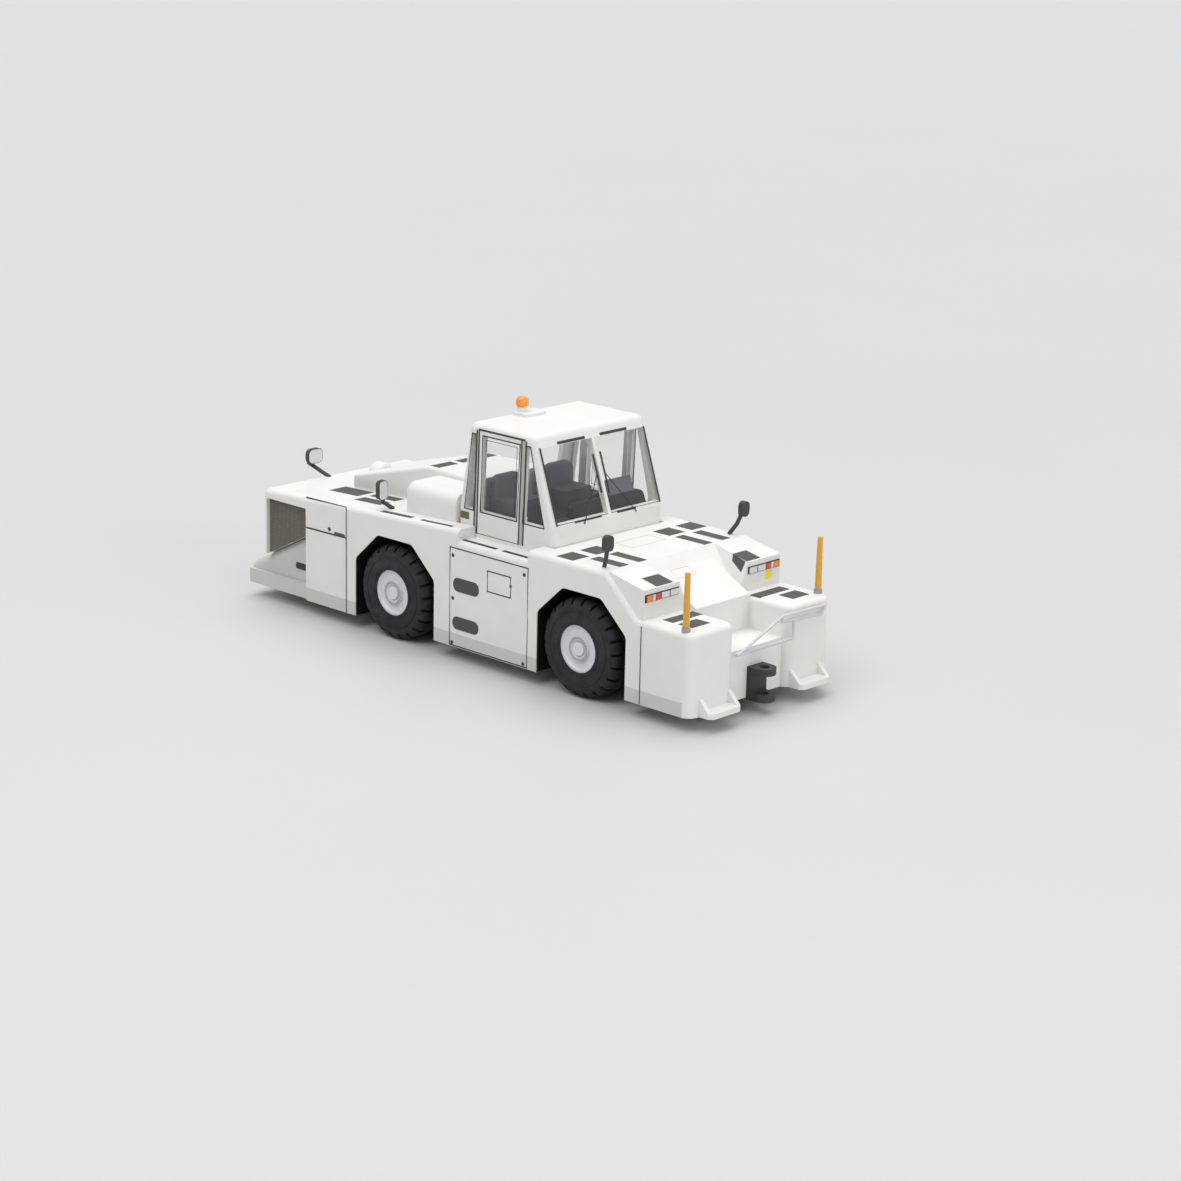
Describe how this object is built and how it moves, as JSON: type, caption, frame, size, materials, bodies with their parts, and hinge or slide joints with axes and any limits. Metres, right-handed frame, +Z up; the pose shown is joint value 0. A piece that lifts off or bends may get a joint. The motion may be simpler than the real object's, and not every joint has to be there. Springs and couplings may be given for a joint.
{
  "type": "die-cast scale model of an airport tow tractor",
  "caption": "Small die-cast model of an airport tow tractor: low white hull, glazed cab, lugged tyres on through axles, front and rear tow pintles, marker poles and a roof beacon.",
  "frame": {"origin": "on the ground, under the middle of the model's overall box", "axes": "+X forward, towards the windscreen and lamps, +Y to the left, +Z up"},
  "size_m": [0.0484, 0.0154, 0.0193],
  "materials": {
    "white_paint": "satin white enamel",
    "window": "clear moulded plastic",
    "cab_plastic": "matte dark grey",
    "black_plastic": "matte black",
    "steel": "bright steel",
    "orange_lens": "clear orange",
    "pole_yellow": "gloss yellow",
    "lamp_lens": "gloss lens paint",
    "tyre_rubber": "matte black rubber",
    "hub_paint": "satin pale grey"
  },
  "bodies": {
    "chassis": {"hull": "white_paint", "cab_shell": "white_paint", "engine_cowl": "white_paint", "right_tank_box": "white_paint", "filler_cap": "white_paint", "rear_platform": "white_paint", "beacon_base": "white_paint", "tow_bar_rack": "white_paint", "cab_glazing": "window", "cab_interior": "cab_plastic", "steering_wheel": "cab_plastic", "base_plate": "black_plastic", "front_pintle": "black_plastic", "rear_pintle": "black_plastic", "front_mirror_left": "black_plastic", "front_mirror_right": "black_plastic", "side_mirror_right": "black_plastic", "hitch_mirror": "black_plastic", "rear_grille": "black_plastic", "side_grille_left": "black_plastic", "side_grille_right": "black_plastic", "base_screws": "steel", "beacon_lens": "orange_lens", "marker_pole_left": "pole_yellow", "marker_pole_right": "pole_yellow", "lamp_cluster_left": "lamp_lens", "lamp_cluster_right": "lamp_lens"},
    "front_wheels": {"front_axle": "steel", "front_tyre_left": "tyre_rubber", "front_tyre_right": "tyre_rubber", "front_hub_left": "hub_paint", "front_hub_right": "hub_paint"},
    "rear_wheels": {"rear_axle": "steel", "rear_tyre_left": "tyre_rubber", "rear_tyre_right": "tyre_rubber", "rear_hub_left": "hub_paint", "rear_hub_right": "hub_paint"}
  },
  "joints": [
    {"name": "front_wheels_roll", "type": "hinge", "parent": "chassis", "child": "front_wheels", "pos_m": [0.01208, 0, 0.0037], "axis": [0, 1, 0], "continuous": true},
    {"name": "rear_wheels_roll", "type": "hinge", "parent": "chassis", "child": "rear_wheels", "pos_m": [-0.00743, 0, 0.0037], "axis": [0, 1, 0], "continuous": true}
  ]
}
